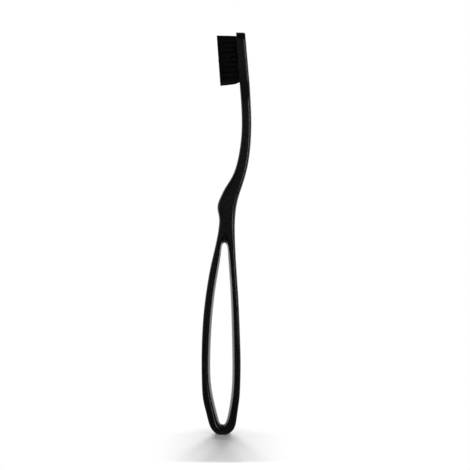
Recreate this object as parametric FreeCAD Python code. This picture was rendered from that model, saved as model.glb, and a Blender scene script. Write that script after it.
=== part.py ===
import FreeCAD, Part
import math
import os

from FreeCAD import Vector

# A manual toothbrush whose handle is a long loop: one moulded body, the bristle tufts, and the metal
# anchors that pin each folded tuft in its hole. Lengths are in millimetres. Z runs up the brush from
# the small flat under the loop, the bristles point towards -X, and Y is the width of the brush.

# Loop
FORK_HEIGHT = 91.2
LOOP_WIDTH = 18.6
BAND_WIDTH = 9.4
BAND_EDGE_RADIUS = 1.5
LIMB_DEPTH = 4.1
CROWN_HEIGHT = 1.3
FORK_GAP = 3.3
FORK_RADIUS = 0.8
FORK_END_DEG = 70.0
FORK_RISE = 4.0
TOE_RADIUS = 1.4
TOE_END_DEG = 60.0
NOSE_RADIUS = 6.2
NOSE_END_DEG = 62.0
FOOT_LENGTH = 3.2

# Shoulder and neck, between the loop and the head
STEM_LENGTH = 74.8
SHOULDER_DEPTH = 8.9
SHOULDER_WIDTH = 9.2
SHOULDER_EDGE_RADIUS = 2.4
NECK_REACH = 11.3
NECK_DEPTH = 4.6
NECK_WIDTH = 5.4
NECK_EDGE_RADIUS = 1.7

# Head
HEAD_LENGTH = 24.0
HEAD_DEPTH = 4.3
HEAD_WIDTH = 10.5
HEAD_TILT_DEG = 4.1
HEAD_CORNER_RADIUS = 4.0
HEAD_BACK_RADIUS = 1.4
HEAD_FACE_RADIUS = 0.5
HEAD_TOP_RADIUS = 0.7
HEAD_BACK_WALL = 1.2

# Tufts and their holes
TUFT_HOLE_DIAMETER = 1.7
TUFT_WALL = 0.45
TUFT_CLEARANCE = 0.03
TUFT_TIP_GAP = 0.15
BRISTLE_HEIGHT = 9.1
FIELD_TOP_MARGIN = 1.5
FIELD_BASE_MARGIN = 0.6
FIELD_SIDE_MARGIN = 1.1
FAN_SHARE = 0.055

# Anchors
ANCHOR_WIDTH = 2.1
ANCHOR_HEIGHT = 1.4
ANCHOR_THICKNESS = 0.25
ANCHOR_TURN_DEG = 45.0
FOLD_DEPTH = 0.5

# One overrun for all cuts
OVERRUN = 0.4

# Outside of the loop, as shares: height of FORK_HEIGHT, bristle side and back of LOOP_WIDTH
LOOP_ROW_SHARES = [
    (0.100, -0.400, 0.368),
    (0.173, -0.489, 0.421),
    (0.274, -0.531, 0.454),
    (0.384, -0.538, 0.462),
    (0.505, -0.525, 0.446),
    (0.647, -0.478, 0.420),
    (0.768, -0.401, 0.387),
    (0.877, -0.306, 0.350),
]
# Opening of the loop, as shares: height of FORK_HEIGHT, then the depth of the band on the bristle side
# and at the back of LIMB_DEPTH
OPENING_ROW_SHARES = [
    (0.098, 1.20, 1.06),
    (0.225, 1.13, 0.99),
    (0.384, 1.01, 0.98),
    (0.603, 1.05, 0.92),
    (0.790, 1.02, 0.87),
]
# The depth under the opening, of LIMB_DEPTH, and the height of its gap at the fork, of FORK_HEIGHT
FLOOR_SHARE = 1.06
FORK_GAP_SHARE = 0.94
# Inner flank of the band, as shares: width of half BAND_WIDTH, retreat of CROWN_HEIGHT
FLANK_SHARES = [(0.0, 0.0), (0.40, 0.30), (0.70, 0.62), (0.86, 0.86), (0.935, 1.05), (0.98, 1.26), (1.0, 1.45)]

# Shoulder, as shares: height of STEM_LENGTH, middle of NECK_REACH, depth of SHOULDER_DEPTH
SHOULDER_ROW_SHARES = [
    (0.051, 0.155, 0.921),
    (0.118, 0.184, 0.843),
    (0.171, 0.190, 0.875),
    (0.220, 0.176, 0.998),
    (0.269, 0.246, 0.974),
    (0.318, 0.358, 0.933),
]
# Neck, as shares: height of STEM_LENGTH, middle of NECK_REACH, depth of NECK_DEPTH
NECK_ROW_SHARES = [
    (0.372, 0.529, 1.554),
    (0.425, 0.684, 1.315),
    (0.492, 0.819, 1.174),
    (0.572, 0.916, 1.087),
    (0.665, 0.981, 1.011),
    (0.773, 1.000, 0.993),
    (0.880, 0.973, 0.996),
    (1.000, 0.920, 1.020),
]
# Heights on the stem, as shares of its length, where the width of the shoulder and the neck is full
SHOULDER_WIDTH_SHARE = 0.22
NECK_WIDTH_SHARES = (0.58, 0.87)
# The head: where its width is full and its depth at its base, as shares of its length and depth
HEAD_WIDTH_SHARE = 0.2
HEAD_BASE_DEPTH_SHARE = 1.09
HEAD_ROW_SHARES = (0.25, 0.5, 0.75, 1.0)
# The most of a wall that a rounded edge may take
EDGE_LIMIT_SHARE = 0.9

NOSE_STEPS = 7
LONG_STEPS = 40
CORNER_STEPS = 7
HALVINGS = 50

# Derived places
HEAD_BASE_HEIGHT = FORK_HEIGHT + STEM_LENGTH
BRUSH_LENGTH = HEAD_BASE_HEIGHT + HEAD_LENGTH
HEAD_TILT = math.radians(HEAD_TILT_DEG)
FOOT_ANGLE = math.asin(FOOT_LENGTH / 2 / NOSE_RADIUS)
NOSE_CENTRE_HEIGHT = NOSE_RADIUS * math.cos(FOOT_ANGLE)
HOLE_DEPTH = HEAD_DEPTH - HEAD_BACK_WALL
HOLE_RADIUS = TUFT_HOLE_DIAMETER / 2


def side_point(x, z):
    """A point of the side outline, on the middle plane of the brush."""
    return Vector(x, 0, z)


def nose_angles():
    """Angles from straight down, from the edge of the foot to the end of the nose's arc."""
    span = math.radians(NOSE_END_DEG) - FOOT_ANGLE
    return [FOOT_ANGLE + span * step / NOSE_STEPS for step in range(NOSE_STEPS + 1)]


def nose_point(angle, side):
    """A point on the round bottom of the loop; side is -1 towards the bristles and 1 towards the back."""
    height = NOSE_CENTRE_HEIGHT - NOSE_RADIUS * math.cos(angle)
    return side_point(side * NOSE_RADIUS * math.sin(angle), height)


def stem_rows():
    """Rows of the shoulder and the neck: height, middle and depth."""
    rows = [(h * STEM_LENGTH, m * NECK_REACH, d * SHOULDER_DEPTH) for h, m, d in SHOULDER_ROW_SHARES]
    rows += [(h * STEM_LENGTH, m * NECK_REACH, d * NECK_DEPTH) for h, m, d in NECK_ROW_SHARES]
    return [(FORK_HEIGHT + height, middle, depth) for height, middle, depth in rows]


def face_x(height):
    """Where the plane of the bristle face is at a height."""
    base_height, middle, depth = stem_rows()[-1]
    return middle - depth / 2 - (height - base_height) * math.tan(HEAD_TILT)


def head_depth(share):
    """Depth of the head at a share of its length."""
    return HEAD_DEPTH * (HEAD_BASE_DEPTH_SHARE + (1 - HEAD_BASE_DEPTH_SHARE) * share)


def outline_points(side):
    """The points of one edge of the side outline, from the foot to the top of the head."""
    points = [nose_point(angle, side) for angle in nose_angles()[::2]]
    for height, front, back in LOOP_ROW_SHARES:
        share = front if side < 0 else back
        points.append(side_point(share * LOOP_WIDTH, height * FORK_HEIGHT))
    for height, middle, depth in stem_rows():
        points.append(side_point(middle + side * depth / 2, height))
    for share in HEAD_ROW_SHARES:
        height = HEAD_BASE_HEIGHT + share * HEAD_LENGTH
        back_step = head_depth(share) if side > 0 else 0
        points.append(side_point(face_x(height) + back_step, height))
    return points


def edge_curve(points):
    """A smooth curve through the points."""
    curve = Part.BSplineCurve()
    curve.interpolate(Points=points)
    return curve


def parameter_at(curve, height):
    """The parameter of a rising curve at a height, by halving."""
    low = curve.FirstParameter
    high = curve.LastParameter
    for _ in range(HALVINGS):
        middle = (low + high) / 2
        if curve.value(middle).z < height:
            low = middle
        else:
            high = middle
    return (low + high) / 2


def edges_at(curves, height):
    """Where the bristle side and the back of the side outline are at a height."""
    return [curve.value(parameter_at(curve, height)).x for curve in curves]


def eased(rows, height):
    """A value that eases from row to row of (height, value) and is level at each row."""
    if height <= rows[0][0]:
        return rows[0][1]
    for (low, start), (high, end) in zip(rows, rows[1:]):
        if height <= high:
            share = (height - low) / (high - low)
            return start + (end - start) * share * share * (3 - 2 * share)
    return rows[-1][1]


def round_off(distance, radius):
    """How far a rounded corner of that radius draws in at a distance from its end."""
    if distance >= radius:
        return 0
    return radius - math.sqrt(radius ** 2 - (radius - distance) ** 2)


def width_rows():
    """Heights and half widths of the brush."""
    return [
        (FORK_HEIGHT, BAND_WIDTH / 2),
        (FORK_HEIGHT + SHOULDER_WIDTH_SHARE * STEM_LENGTH, SHOULDER_WIDTH / 2),
        (FORK_HEIGHT + NECK_WIDTH_SHARES[0] * STEM_LENGTH, NECK_WIDTH / 2),
        (FORK_HEIGHT + NECK_WIDTH_SHARES[1] * STEM_LENGTH, NECK_WIDTH / 2),
        (HEAD_BASE_HEIGHT + HEAD_WIDTH_SHARE * HEAD_LENGTH, HEAD_WIDTH / 2),
    ]


def radius_rows(head_radius):
    """Heights and edge radii of the brush, for the face or the back of the head."""
    radii = [BAND_EDGE_RADIUS, SHOULDER_EDGE_RADIUS, NECK_EDGE_RADIUS, NECK_EDGE_RADIUS, head_radius]
    return [(height, radius) for (height, _), radius in zip(width_rows(), radii)]


def section(curves, height):
    """One level section of the brush: a rectangle with rounded corners."""
    from_top = BRUSH_LENGTH - height
    half_width = eased(width_rows(), height)
    half_width -= round_off(height, BAND_EDGE_RADIUS)
    half_width -= round_off(from_top, HEAD_CORNER_RADIUS)
    front, back = edges_at(curves, height)
    back -= round_off(from_top, HEAD_TOP_RADIUS)
    limit = EDGE_LIMIT_SHARE * min(half_width, (back - front) / 2)
    front_radius = min(limit, eased(radius_rows(HEAD_FACE_RADIUS), height))
    back_radius = min(limit, eased(radius_rows(HEAD_BACK_RADIUS), height))
    corners = [
        (back, half_width, back_radius, 0),
        (front, half_width, front_radius, 90),
        (front, -half_width, front_radius, 180),
        (back, -half_width, back_radius, 270),
    ]
    arcs = [corner_arc(x, y, height, radius, start) for x, y, radius, start in corners]
    edges = []
    for arc, following in zip(arcs, arcs[1:] + arcs[:1]):
        edges.append(arc.toShape())
        edges.append(Part.LineSegment(arc.EndPoint, following.StartPoint).toShape())
    return Part.Wire(edges)


def corner_arc(x, y, height, radius, start_deg):
    """A quarter circle inside the corner at x, y, turning from start_deg."""
    middle = Vector(x - math.copysign(radius, math.cos(math.radians(start_deg + 45))),
                    y - math.copysign(radius, math.sin(math.radians(start_deg + 45))), height)
    places = []
    for turn in (0, 45, 90):
        angle = math.radians(start_deg + turn)
        places.append(middle + Vector(radius * math.cos(angle), radius * math.sin(angle), 0))
    return Part.Arc(*places)


def section_heights():
    """Heights of the sections: close together on the nose and at the rounded top, even between them."""
    nose = [nose_point(angle, 1).z for angle in nose_angles()]
    turns = [math.pi / 2 * step / CORNER_STEPS for step in range(CORNER_STEPS + 1)]
    top = [BRUSH_LENGTH - HEAD_CORNER_RADIUS * (1 - math.cos(turn)) for turn in reversed(turns)]
    span = top[0] - nose[-1]
    long_run = [nose[-1] + span * step / LONG_STEPS for step in range(1, LONG_STEPS)]
    return nose + long_run + top


def blade(curves):
    """The whole body with the loop still filled in."""
    return Part.makeLoft([section(curves, height) for height in section_heights()], True)


def toe_point(angle, retreat):
    """A point on the round bottom of the opening, at an angle from straight down."""
    radius = TOE_RADIUS + retreat
    middle_height = FLOOR_SHARE * LIMB_DEPTH + TOE_RADIUS
    return side_point(radius * math.sin(angle), middle_height - radius * math.cos(angle))


def fork_points(curves, retreat_share):
    """The points of the opening's blunt end at the fork, from the back to the bristle side.

    The flank draws back beside the gap, and the round end keeps its radius and rises.
    """
    half_gap = FORK_GAP / 2 + retreat_share * CROWN_HEIGHT
    gap_height = FORK_GAP_SHARE * FORK_HEIGHT
    middle = sum(edges_at(curves, gap_height)) / 2
    end_middle = side_point(middle, FORK_HEIGHT - FORK_RADIUS + retreat_share * FORK_RISE)
    points = [side_point(middle + half_gap, gap_height)]
    for turn in (FORK_END_DEG, 0, -FORK_END_DEG):
        angle = math.radians(turn)
        points.append(end_middle + side_point(FORK_RADIUS * math.sin(angle), FORK_RADIUS * math.cos(angle)))
    points.append(side_point(middle - half_gap, gap_height))
    return points


def opening_points(curves, retreat_share):
    """The points of the loop's opening, with its flank drawn back by a share of the crown's height."""
    retreat = retreat_share * CROWN_HEIGHT
    front_side = []
    back_side = []
    for height_share, *limb_shares in OPENING_ROW_SHARES:
        height = height_share * FORK_HEIGHT
        front, back = edges_at(curves, height)
        front_side.append(side_point(front + limb_shares[0] * LIMB_DEPTH - retreat, height))
        back_side.append(side_point(back - limb_shares[1] * LIMB_DEPTH + retreat, height))
    toe_angle = math.radians(TOE_END_DEG)
    front_toe, bottom, back_toe = [toe_point(angle, retreat) for angle in (-toe_angle, 0, toe_angle)]
    return [bottom, back_toe] + back_side + fork_points(curves, retreat_share) + front_side[::-1] + [front_toe]


def shared_parameters(outlines):
    """Parameters that suit all the closed outlines: means of the roots of their points' distances."""
    steps = [0.0] * len(outlines[0])
    for points in outlines:
        roots = [math.sqrt(a.distanceToPoint(b)) for a, b in zip(points, points[1:] + points[:1])]
        steps = [step + root / sum(roots) for step, root in zip(steps, roots)]
    parameters = [0.0]
    for step in steps:
        parameters.append(parameters[-1] + step)
    return parameters


def flank_rows():
    """Places across the band, and the share of the crown that its flank draws back there."""
    rows = [(width * BAND_WIDTH / 2, retreat) for width, retreat in FLANK_SHARES]
    (near, near_retreat), (far, far_retreat) = rows[-2:]
    beyond = far_retreat + (far_retreat - near_retreat) * OVERRUN / (far - near)
    rows.append((far + OVERRUN, beyond))
    return [(-width, retreat) for width, retreat in rows[:0:-1]] + rows


def loop_opening(curves):
    """The cutter for the loop's opening: narrowest on the middle plane, flared towards both sides."""
    outlines = []
    for width, retreat in flank_rows():
        outlines.append([point + Vector(0, width, 0) for point in opening_points(curves, retreat)])
    parameters = shared_parameters(outlines)
    wires = []
    for points in outlines:
        curve = Part.BSplineCurve()
        curve.interpolate(Points=points, PeriodicFlag=True, Parameters=parameters)
        wires.append(Part.Wire(curve.toShape()))
    return Part.makeLoft(wires, True)


def tuft_places():
    """Columns of hole centres on the bristle face: distance up from the middle of the field, and across.

    The outer columns have one hole less and lie half a pitch off the others, clear of the head's corners.
    """
    length = HEAD_LENGTH / math.cos(HEAD_TILT) - FIELD_TOP_MARGIN - FIELD_BASE_MARGIN - TUFT_HOLE_DIAMETER
    width = HEAD_WIDTH - 2 * FIELD_SIDE_MARGIN - TUFT_HOLE_DIAMETER
    least_pitch = TUFT_HOLE_DIAMETER + TUFT_WALL
    row_gaps = int(length / least_pitch)
    column_gaps = int(width / least_pitch)
    row_pitch = length / row_gaps
    column_pitch = width / column_gaps
    columns = []
    for column in range(column_gaps + 1):
        outer_column = column in (0, column_gaps)
        count = row_gaps if outer_column else row_gaps + 1
        y = column_pitch * (column - column_gaps / 2)
        columns.append([(row_pitch * ((count - 1) / 2 - row), y) for row in range(count)])
    return columns, min(row_pitch, column_pitch)


def head_placement():
    """The frame of the bristle field: Z out of the face, X up along it, and Y across."""
    up = Vector(-math.sin(HEAD_TILT), 0, math.cos(HEAD_TILT))
    base = side_point(face_x(HEAD_BASE_HEIGHT), HEAD_BASE_HEIGHT)
    face_length = HEAD_LENGTH / math.cos(HEAD_TILT)
    origin = base + up * (face_length + FIELD_BASE_MARGIN - FIELD_TOP_MARGIN) / 2
    outward = Vector(-math.cos(HEAD_TILT), 0, -math.sin(HEAD_TILT))
    across = outward.cross(up)
    return FreeCAD.Placement(origin, FreeCAD.Rotation(up, across, outward, "ZXY"))


def circle_wire(x, y, z, radius):
    """A level circle."""
    return Part.Wire(Part.makeCircle(radius, Vector(x, y, z)))


def tuft(x, y, tip_radius):
    """One tuft: its shank fills the hole, and its free length flares and leans out."""
    shank_radius = HOLE_RADIUS - TUFT_CLEARANCE
    wires = [
        circle_wire(x, y, -HOLE_DEPTH, shank_radius),
        circle_wire(x, y, 0, shank_radius),
        circle_wire(x * (1 + FAN_SHARE), y * (1 + FAN_SHARE), BRISTLE_HEIGHT, tip_radius),
    ]
    return Part.makeLoft(wires, True, True)


def anchor(x, y):
    """One flat anchor, set across its hole and a fold's depth above the bottom."""
    corner = Vector(-ANCHOR_WIDTH / 2, -ANCHOR_THICKNESS / 2, 0)
    plate = Part.makeBox(ANCHOR_WIDTH, ANCHOR_THICKNESS, ANCHOR_HEIGHT, corner)
    plate.rotate(Vector(0, 0, 0), Vector(0, 0, 1), ANCHOR_TURN_DEG)
    plate.translate(Vector(x, y, FOLD_DEPTH - HOLE_DEPTH))
    return plate


def tuft_hole(x, y):
    """One blind hole for a tuft."""
    return Part.makeCylinder(HOLE_RADIUS, HOLE_DEPTH + OVERRUN, Vector(x, y, -HOLE_DEPTH))


def placed(shape, placement):
    """The shape moved from the bristle field's frame to the brush's frame."""
    return shape.transformed(placement.toMatrix())


def main():
    os.makedirs("parts", exist_ok=True)
    field = head_placement()
    columns, pitch = tuft_places()
    tip_radius = (pitch * (1 + FAN_SHARE) - TUFT_TIP_GAP) / 2
    pieces = {}
    cutters = []
    for column_number, column in enumerate(columns, 1):
        plates = [anchor(x, y) for x, y in column]
        for tuft_number, (place, plate) in enumerate(zip(column, plates), 1):
            solid = tuft(*place, tip_radius).cut(plate)
            pieces[f"tuft_c{column_number}_{tuft_number:02d}"] = placed(solid, field)
            cutters.append(tuft_hole(*place).fuse(plate))
        pieces[f"anchors_column_{column_number}"] = placed(Part.makeCompound(plates), field)
    curves = [edge_curve(outline_points(side)) for side in (-1, 1)]
    body = blade(curves).cut(loop_opening(curves))
    pieces["handle_body"] = body.cut([placed(cutter, field) for cutter in cutters])
    for name, shape in pieces.items():
        print(name, len(shape.Solids), shape.isValid(), round(shape.Volume, 3))
        shape.exportStep(f"parts/{name}.step")


main()
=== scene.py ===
import math
import random

import bpy
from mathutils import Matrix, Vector


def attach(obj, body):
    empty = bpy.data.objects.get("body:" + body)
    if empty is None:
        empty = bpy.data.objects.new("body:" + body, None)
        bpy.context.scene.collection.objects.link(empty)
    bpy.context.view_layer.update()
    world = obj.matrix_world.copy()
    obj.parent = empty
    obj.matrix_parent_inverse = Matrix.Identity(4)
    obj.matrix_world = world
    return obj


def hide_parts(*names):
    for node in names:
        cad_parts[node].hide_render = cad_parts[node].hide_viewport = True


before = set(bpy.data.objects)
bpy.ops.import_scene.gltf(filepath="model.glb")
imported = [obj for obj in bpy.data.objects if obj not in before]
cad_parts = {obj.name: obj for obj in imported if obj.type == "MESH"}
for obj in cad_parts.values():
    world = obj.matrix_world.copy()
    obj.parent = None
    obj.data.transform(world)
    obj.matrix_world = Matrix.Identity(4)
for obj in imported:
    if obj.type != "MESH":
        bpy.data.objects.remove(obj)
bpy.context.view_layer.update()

# A black manual toothbrush on a white floor, in metres. The bristles point to -X, and the photograph
# looks along +Y.

MM = 0.001

# Camera
CAMERA_PLACE = Vector((5.875, -900.0, 175.0)) * MM
CAMERA_PITCH_DEG = 5.084
FOCAL_PIXELS = 1914.0
FRAME_PIXELS = 470
SENSOR_WIDTH = 36.0

# Directions at the head: across the brush, the way the bristles point, and down along the bristle face
HEAD_TILT = math.radians(4.1)
ACROSS = Vector((0, 1, 0))
OUTWARD = Vector((-math.cos(HEAD_TILT), 0, -math.sin(HEAD_TILT)))
DOWNWARD = OUTWARD.cross(ACROSS)

# Bristles: the tufts' filaments, which start in the holes and splay a little towards the tips
BRISTLE_HEIGHT = 9.1 * MM
ROOT_DEPTH = 0.7 * MM
HOLE_RADIUS = 0.82 * MM
FILAMENT_RADIUS = 0.0925 * MM
FILAMENTS = 44
FILAMENT_SIDES = 6
FILAMENT_STEPS = 6
TIP_RINGS = 2
TIP_JITTER = 0.07 * MM
LENGTH_JITTER = 0.06 * MM
SPLAY_POWER = 0.8
RING_SLACK = 0.02 * MM
GOLDEN_ANGLE = math.pi * (3 - math.sqrt(5))
SEED = 7

# The lowest tuft of each column bulges downward below its tips
END_BOW = 0.5 * MM
END_BOW_TURN = 0.87 * math.pi

# Ranges that shader values are carried from or to
RISING = (0.0, 1.0)
FALLING = (1.0, 0.0)
NOISE_BAND = (0.3, 0.7)

# Noise
NOISE_DETAIL = 2.0
FINE_DETAIL = 3.0
NOISE_HARSHNESS = 0.5

# Satin black plastic. Here and below, a bump is a strength and a height.
PLASTIC_DARK = (0.0044, 0.0044, 0.0045, 1)
PLASTIC_LIGHT = (0.0062, 0.0059, 0.0058, 1)
PLASTIC_IOR = 1.5
FLOW_SIZE = 9 * MM
FLOW_ROUGHNESS = (0.17, 0.24)
FLOW_BUMP = (0.25, 0.05 * MM)
GRAIN_SIZE = 0.16 * MM
GRAIN_HARSHNESS = 0.6
GRAIN_BUMP = (0.08, 0.012 * MM)
SPECK_SIZE = 0.7 * MM
SPECK_ROUGHNESS = (-0.03, 0.03)
SEAM_EDGE = (0.03 * MM, 0.10 * MM)
SEAM_BUMP = (0.5, 0.03 * MM)

# Black nylon
NYLON_DARK = (0.0028, 0.0028, 0.0029, 1)
NYLON_LIGHT = (0.0058, 0.0055, 0.0055, 1)
NYLON_IOR = 1.53
NYLON_ROUGHNESS = (0.36, 0.46)
STREAK_SIZE = 0.5 * MM
STREAK_ROUGHNESS = (-0.04, 0.04)
STREAK_BUMP = (0.12, 0.01 * MM)

# Rolled brass
BRASS_BRIGHT = (0.74, 0.56, 0.27, 1)
BRASS_DULL = (0.58, 0.41, 0.19, 1)
BRASS_ROUGHNESS = (0.26, 0.42)
TARNISH_SIZE = 0.8 * MM
ROLL_STRETCH = (1, 1, 0.08)
ROLL_SIZE = 0.05 * MM
ROLL_BUMP = (0.2, 0.01 * MM)

# Floor: it fades from lit to plain white in front, at the sides and behind. The lit floor stays below
# white, so the fades at the sides and behind are a painted soft shade round the foot.
FLOOR_SIZE = 8.0
FLOOR_COLOUR = (0.93, 0.93, 0.93, 1)
FRONT_FADE = (0.064, 0.069)
# The side and back spans set a painted shade: the floor rises from its lit level, below white, to plain
# white.
SIDE_PAINTED_SHADE_FADE = (0.002, 0.033)
BACK_PAINTED_SHADE_FADE = (0.0, 0.030)

# What gloss reflects: white behind the brush, and strengths below 1 in front, close by and above
FRONT_GLOSS = 0.10
NEAR_GLOSS = 0.01
CEILING_GLOSS = 0.06
FLOOR_BEHIND = (-0.02, 0.10)
FLOOR_AHEAD = (-1.6, -0.2)
BACKDROP_TURN = (-0.1, 0.45)
CEILING_TURN = (0.12, 0.66)

# Light
WHITE = (1, 1, 1, 1)
AMBIENT = 0.14
FOOT = (0, 0, 0)
BRUSH_MIDDLE = (0, 0, 0.09)
BACK_PANEL = {
    "place": (0.0, 1.84, 0.36), "aim": FOOT, "width": 0.9, "height": 0.68, "power": 120.0}
RIGHT_SOFT_BOX = {
    "place": (0.56, -0.46, 0.22), "aim": BRUSH_MIDDLE, "width": 0.16, "height": 0.5, "power": 1.1}
FRONT_FILL = {
    "place": (-0.45, -1.1, 0.25), "aim": BRUSH_MIDDLE, "width": 0.6, "height": 0.4, "power": 4.0}


def material(name):
    """A new material and its node tree, which is empty."""
    made = bpy.data.materials.new(name)
    made.use_nodes = True
    made.node_tree.nodes.clear()
    return made, made.node_tree


def node(tree, kind, settings=None, inputs=None):
    """A shader node; inputs hold plain values, or sockets to link from."""
    made = tree.nodes.new(kind)
    for name, value in (settings or {}).items():
        setattr(made, name, value)
    for name, value in (inputs or {}).items():
        if isinstance(value, bpy.types.NodeSocket):
            tree.links.new(value, made.inputs[name])
        else:
            made.inputs[name].default_value = value
    return made


def object_place(tree):
    """The place of a surface point in its object, which is its place in the frame."""
    return node(tree, "ShaderNodeTexCoord").outputs["Object"]


def axes(tree, vector):
    """The X, Y and Z of a vector."""
    return node(tree, "ShaderNodeSeparateXYZ", inputs={"Vector": vector}).outputs


def noise(tree, place, size, detail=NOISE_DETAIL, harshness=NOISE_HARSHNESS):
    """The value of a noise whose features have that size."""
    made = node(tree, "ShaderNodeTexNoise", inputs={
        "Vector": place, "Scale": 1 / size, "Detail": detail, "Roughness": harshness})
    return made.outputs["Fac"]


def mapped(tree, value, ends, span=RISING):
    """A value within the span, carried to the range between the ends."""
    made = node(tree, "ShaderNodeMapRange", inputs={
        "Value": value, "From Min": span[0], "From Max": span[1], "To Min": ends[0], "To Max": ends[1]})
    return made.outputs["Result"]


def fade(tree, value, span):
    """A smooth step from 0 at the start of the span to 1 at its end."""
    made = node(tree, "ShaderNodeMapRange", {"interpolation_type": "SMOOTHSTEP"}, {
        "Value": value, "From Min": span[0], "From Max": span[1]})
    return made.outputs["Result"]


def math_node(tree, operation, first, second=0.0):
    """The result of one operation on two values or sockets."""
    made = node(tree, "ShaderNodeMath", {"operation": operation}, {0: first, 1: second})
    return made.outputs[0]


def mix_colour(tree, share, first, second):
    """A colour between two."""
    made = node(tree, "ShaderNodeMix", {"data_type": "RGBA"}, {"Factor": share})
    for letter, colour in (("A", first), ("B", second)):
        socket = next(s for s in made.inputs if s.name == letter and s.type == "RGBA")
        socket.default_value = colour
    return next(s for s in made.outputs if s.type == "RGBA")


def bump(tree, height, relief, normal=None):
    """A bump of that relief, on top of another normal where there is one."""
    strength, distance = relief
    inputs = {"Height": height, "Strength": strength, "Distance": distance}
    if normal is not None:
        inputs["Normal"] = normal
    return node(tree, "ShaderNodeBump", inputs=inputs).outputs["Normal"]


def set_surface(tree, shader):
    """Sends a shader to the material's surface."""
    node(tree, "ShaderNodeOutputMaterial", inputs={"Surface": shader})


def set_principled(tree, inputs):
    """Makes the material's surface one principled shader."""
    set_surface(tree, node(tree, "ShaderNodeBsdfPrincipled", inputs=inputs).outputs["BSDF"])


def reflected_ray(tree, path):
    """1 on a ray that has met a glossy or a clear surface, and otherwise 0."""
    return math_node(tree, "MAXIMUM", path["Is Glossy Ray"], path["Is Transmission Ray"])


def handle_plastic():
    """Satin black moulded plastic: fine spark-eroded grain, faint flow marks and a parting line."""
    made, tree = material("satin_black_plastic")
    place = object_place(tree)
    flow = noise(tree, place, FLOW_SIZE, FINE_DETAIL)
    grain = noise(tree, place, GRAIN_SIZE, FINE_DETAIL, GRAIN_HARSHNESS)
    speck = noise(tree, place, SPECK_SIZE)
    colour = mix_colour(tree, mapped(tree, flow, RISING, NOISE_BAND), PLASTIC_DARK, PLASTIC_LIGHT)
    rough = math_node(tree, "ADD", mapped(tree, flow, FLOW_ROUGHNESS, NOISE_BAND),
                      mapped(tree, speck, SPECK_ROUGHNESS, NOISE_BAND))
    off_middle = math_node(tree, "ABSOLUTE", axes(tree, place)["Y"])
    seam = mapped(tree, off_middle, FALLING, SEAM_EDGE)
    normal = bump(tree, flow, FLOW_BUMP)
    normal = bump(tree, grain, GRAIN_BUMP, normal)
    normal = bump(tree, seam, SEAM_BUMP, normal)
    set_principled(tree, {"Base Color": colour, "Roughness": rough, "IOR": PLASTIC_IOR, "Normal": normal})
    return made


def bristle_nylon():
    """Black nylon filaments: each a little lighter or darker, with a soft sheen along its length."""
    made, tree = material("black_nylon_filament")
    island = node(tree, "ShaderNodeNewGeometry").outputs["Random Per Island"]
    streak = noise(tree, object_place(tree), STREAK_SIZE)
    colour = mix_colour(tree, island, NYLON_DARK, NYLON_LIGHT)
    rough = math_node(tree, "ADD", mapped(tree, island, NYLON_ROUGHNESS),
                      mapped(tree, streak, STREAK_ROUGHNESS, NOISE_BAND))
    normal = bump(tree, streak, STREAK_BUMP)
    set_principled(tree, {"Base Color": colour, "Roughness": rough, "IOR": NYLON_IOR, "Normal": normal})
    return made


def anchor_brass():
    """Rolled brass strip: fine lines along the roll and a slightly uneven tarnish."""
    made, tree = material("rolled_brass_strip")
    place = object_place(tree)
    rolled = node(tree, "ShaderNodeMapping", inputs={"Vector": place, "Scale": ROLL_STRETCH})
    lines = noise(tree, rolled.outputs["Vector"], ROLL_SIZE)
    tarnish = noise(tree, place, TARNISH_SIZE, FINE_DETAIL)
    colour = mix_colour(tree, mapped(tree, tarnish, RISING, NOISE_BAND), BRASS_BRIGHT, BRASS_DULL)
    rough = mapped(tree, tarnish, BRASS_ROUGHNESS, NOISE_BAND)
    normal = bump(tree, lines, ROLL_BUMP)
    set_principled(tree, {"Base Color": colour, "Metallic": 1.0, "Roughness": rough, "Normal": normal})
    return made


def white_floor():
    """White floor: lit near the object, so that it keeps the shadow, and plain white far from it. The lit
    floor is below white, so its fade to white at the sides and behind paints a soft shade round the foot.
    """
    made, tree = material("white_floor")
    place = object_place(tree)
    ways = axes(tree, place)
    path = node(tree, "ShaderNodeLightPath").outputs
    camera = path["Is Camera Ray"]
    distance = node(tree, "ShaderNodeVectorMath", {"operation": "LENGTH"}, {0: place}).outputs["Value"]
    aside = math_node(tree, "ABSOLUTE", ways["X"])
    # Painted shade: the below-white lit floor fades to plain white at the sides and behind, darker close
    # to the foot.
    side_painted_shade = fade(tree, aside, SIDE_PAINTED_SHADE_FADE)
    back_painted_shade = fade(tree, math_node(tree, "ADD", ways["Y"], aside), BACK_PAINTED_SHADE_FADE)
    front = fade(tree, distance, FRONT_FADE)
    far = math_node(tree, "MAXIMUM", front, math_node(tree, "MAXIMUM", side_painted_shade, back_painted_shade))
    seen_far = math_node(tree, "MULTIPLY", far, camera)
    share = math_node(tree, "MAXIMUM", seen_far, reflected_ray(tree, path))
    shine = math_node(tree, "MAXIMUM", mapped(tree, ways["Y"], RISING, FLOOR_BEHIND),
                      mapped(tree, ways["Y"], (FRONT_GLOSS, NEAR_GLOSS), FLOOR_AHEAD))
    strength = math_node(tree, "MAXIMUM", camera, shine)
    lit = node(tree, "ShaderNodeBsdfDiffuse", inputs={"Color": FLOOR_COLOUR})
    plain = node(tree, "ShaderNodeEmission", inputs={"Color": WHITE, "Strength": strength})
    mixed = node(tree, "ShaderNodeMixShader", inputs={
        0: share, 1: lit.outputs["BSDF"], 2: plain.outputs["Emission"]})
    set_surface(tree, mixed.outputs["Shader"])
    return made


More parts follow.
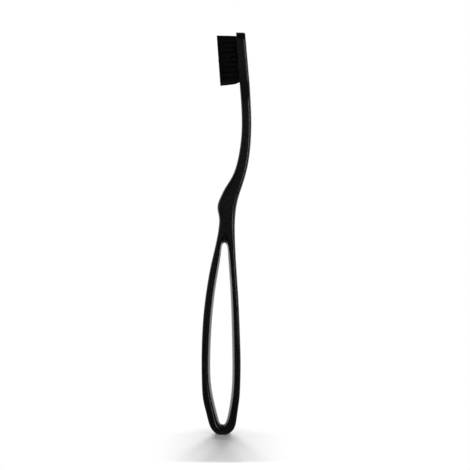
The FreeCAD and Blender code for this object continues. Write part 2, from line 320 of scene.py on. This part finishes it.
def set_world():
    """White where it is seen; where it is reflected, a white backdrop behind, dim in front and above."""
    world = bpy.data.worlds.new("studio")
    bpy.context.scene.world = world
    world.use_nodes = True
    tree = world.node_tree
    tree.nodes.clear()
    path = node(tree, "ShaderNodeLightPath").outputs
    ways = axes(tree, node(tree, "ShaderNodeTexCoord").outputs["Generated"])
    backdrop = math_node(tree, "MULTIPLY", mapped(tree, ways["Y"], (FRONT_GLOSS, 1.0), BACKDROP_TURN),
                         mapped(tree, ways["Z"], (1.0, CEILING_GLOSS), CEILING_TURN))
    shine = math_node(tree, "MULTIPLY", reflected_ray(tree, path), backdrop)
    seen = math_node(tree, "MAXIMUM", path["Is Camera Ray"], shine)
    ambient = math_node(tree, "MULTIPLY", path["Is Diffuse Ray"], AMBIENT)
    strength = math_node(tree, "MAXIMUM", seen, ambient)
    sky = node(tree, "ShaderNodeBackground", inputs={"Color": WHITE, "Strength": strength})
    node(tree, "ShaderNodeOutputWorld", inputs={"Surface": sky.outputs["Background"]})


def add_object(name, data):
    """A new object in the scene."""
    made = bpy.data.objects.new(name, data)
    bpy.context.scene.collection.objects.link(made)
    return made


def area_light(name, place, aim, width, height, power):
    """A rectangular soft light that the camera doesn't see."""
    data = bpy.data.lights.new(name, "AREA")
    data.shape = "RECTANGLE"
    data.size = width
    data.size_y = height
    data.energy = power
    made = add_object(name, data)
    made.location = place
    made.rotation_euler = (Vector(aim) - Vector(place)).to_track_quat("-Z", "Y").to_euler()
    made.visible_camera = False
    return made


def set_lights(floor):
    """A low panel behind for the floor alone, a soft box on the right and an even fill in front."""
    panel = area_light("back_panel", **BACK_PANEL)
    panel.visible_glossy = False
    lit = bpy.data.collections.new("lit_by_back_panel")
    lit.objects.link(floor)
    panel.light_linking.receiver_collection = lit
    area_light("right_soft_box", **RIGHT_SOFT_BOX)
    fill = area_light("front_fill", **FRONT_FILL)
    fill.visible_glossy = False


def set_camera():
    """The photograph's view."""
    data = bpy.data.cameras.new("photo_camera")
    data.sensor_width = SENSOR_WIDTH
    data.lens = FOCAL_PIXELS / FRAME_PIXELS * SENSOR_WIDTH
    made = add_object("photo_camera", data)
    made.location = CAMERA_PLACE
    made.rotation_euler = (math.radians(90 - CAMERA_PITCH_DEG), 0, 0)
    bpy.context.scene.camera = made


def make_floor():
    """A wide level floor under the loop."""
    half = FLOOR_SIZE / 2
    corners = [(-half, -half, 0), (half, -half, 0), (half, half, 0), (-half, half, 0)]
    mesh = bpy.data.meshes.new("floor")
    mesh.from_pydata(corners, [], [(0, 1, 2, 3)])
    mesh.materials.append(white_floor())
    made = add_object("floor", mesh)
    return made


def ring_middle(points):
    """The middle of the box round some points."""
    low = Vector([min(p[k] for p in points) for k in range(3)])
    high = Vector([max(p[k] for p in points) for k in range(3)])
    return (low + high) / 2


def tuft_axis(tuft):
    """Where a tuft's axis meets the face of the head, its tip, and the radius there."""
    points = [vertex.co for vertex in tuft.data.vertices]
    heights = [point.dot(OUTWARD) for point in points]
    top = max(heights)
    bottom = min(heights)
    tip_ring = [point for point, height in zip(points, heights) if top - height < RING_SLACK]
    root_ring = [point for point, height in zip(points, heights) if height - bottom < RING_SLACK]
    tip = ring_middle(tip_ring)
    radius = max((point - tip).length for point in tip_ring)
    base = ring_middle(root_ring) + OUTWARD * (top - BRISTLE_HEIGHT - bottom)
    return base, tip, radius


def filament_rings(base, tip, offset, spread, lift, bow):
    """Middles and radii of one filament's rings, from inside its hole to its rounded tip, and its end."""
    rings = [(base + offset - OUTWARD * ROOT_DEPTH, FILAMENT_RADIUS)]
    for step in range(FILAMENT_STEPS):
        share = step / (FILAMENT_STEPS - 1)
        splay = offset.lerp(spread, share ** SPLAY_POWER)
        swing = splay + bow * math.sin(END_BOW_TURN * math.sqrt(share))
        rise = OUTWARD * (lift * share - FILAMENT_RADIUS * share)
        rings.append((base.lerp(tip, share) + swing + rise, FILAMENT_RADIUS))
    neck = rings[-1][0]
    for ring in range(1, TIP_RINGS + 1):
        turn = math.pi / 2 * ring / (TIP_RINGS + 1)
        rings.append((neck + OUTWARD * FILAMENT_RADIUS * math.sin(turn), FILAMENT_RADIUS * math.cos(turn)))
    return rings, neck + OUTWARD * FILAMENT_RADIUS


def around(turn):
    """The direction at that angle round a filament or a tuft."""
    return ACROSS * math.cos(turn) + DOWNWARD * math.sin(turn)


def add_filament(points, faces, rings, apex):
    """Adds one closed filament to the lists of a mesh."""
    first = len(points)
    sides = range(FILAMENT_SIDES)
    for middle, radius in rings:
        points.extend(middle + around(2 * math.pi * k / FILAMENT_SIDES) * radius for k in sides)
    points.append(apex)
    for ring in range(len(rings) - 1):
        start = first + ring * FILAMENT_SIDES
        for k in sides:
            this = start + k
            beside = start + (k + 1) % FILAMENT_SIDES
            faces.append((this, beside, beside + FILAMENT_SIDES, this + FILAMENT_SIDES))
    last = first + (len(rings) - 1) * FILAMENT_SIDES
    for k in sides:
        faces.append((last + k, last + (k + 1) % FILAMENT_SIDES, len(points) - 1))
    faces.append(tuple(first + k for k in reversed(sides)))


def tuft_mesh(name, tuft, draw, end_bow):
    """The filaments of one tuft as a mesh, laid out like the seeds of a sunflower."""
    base, tip, tip_radius = tuft_axis(tuft)
    start = draw.uniform(0, 2 * math.pi)
    points = []
    faces = []
    for k in range(FILAMENTS):
        way = around(start + k * GOLDEN_ANGLE)
        share = math.sqrt((k + 0.5) / FILAMENTS)
        offset = way * share * (HOLE_RADIUS - FILAMENT_RADIUS)
        stray = ACROSS * draw.uniform(-1, 1) + DOWNWARD * draw.uniform(-1, 1)
        spread = way * share * (tip_radius - FILAMENT_RADIUS) + stray * TIP_JITTER
        lift = draw.uniform(-LENGTH_JITTER, 0)
        bow = DOWNWARD * end_bow * share * max(0, way.dot(DOWNWARD))
        rings, apex = filament_rings(base, tip, offset, spread, lift, bow)
        add_filament(points, faces, rings, apex)
    mesh = bpy.data.meshes.new(name)
    mesh.from_pydata(points, [], faces)
    mesh.polygons.foreach_set("use_smooth", [True] * len(mesh.polygons))
    return mesh


def make_tuft(name, nylon, draw, end_bow):
    """One tuft's filaments, in the place of its CAD node."""
    mesh = tuft_mesh(name.replace("tuft", "bristles"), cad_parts[name], draw, end_bow)
    mesh.materials.append(nylon)
    made = add_object(mesh.name, mesh)
    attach(made, "root")
    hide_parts(name)


def dress(obj, finish):
    """Gives a CAD object a finish in its own material slots."""
    for slot in obj.material_slots:
        slot.material = finish


def make_brush():
    """All the pieces of the brush. Tufts are numbered down each column, so its last name is its lowest."""
    plastic = handle_plastic()
    brass = anchor_brass()
    nylon = bristle_nylon()
    draw = random.Random(SEED)
    names = sorted(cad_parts)
    lowest = {name.rsplit("_", 1)[0]: name for name in names if name.startswith("tuft")}
    for name in names:
        if name.startswith("tuft"):
            make_tuft(name, nylon, draw, END_BOW if name in lowest.values() else 0)
        elif name.startswith("anchors"):
            dress(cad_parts[name], brass)
        else:
            dress(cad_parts[name], plastic)


bpy.context.scene.view_settings.view_transform = "Standard"
set_world()
set_lights(make_floor())
set_camera()
make_brush()
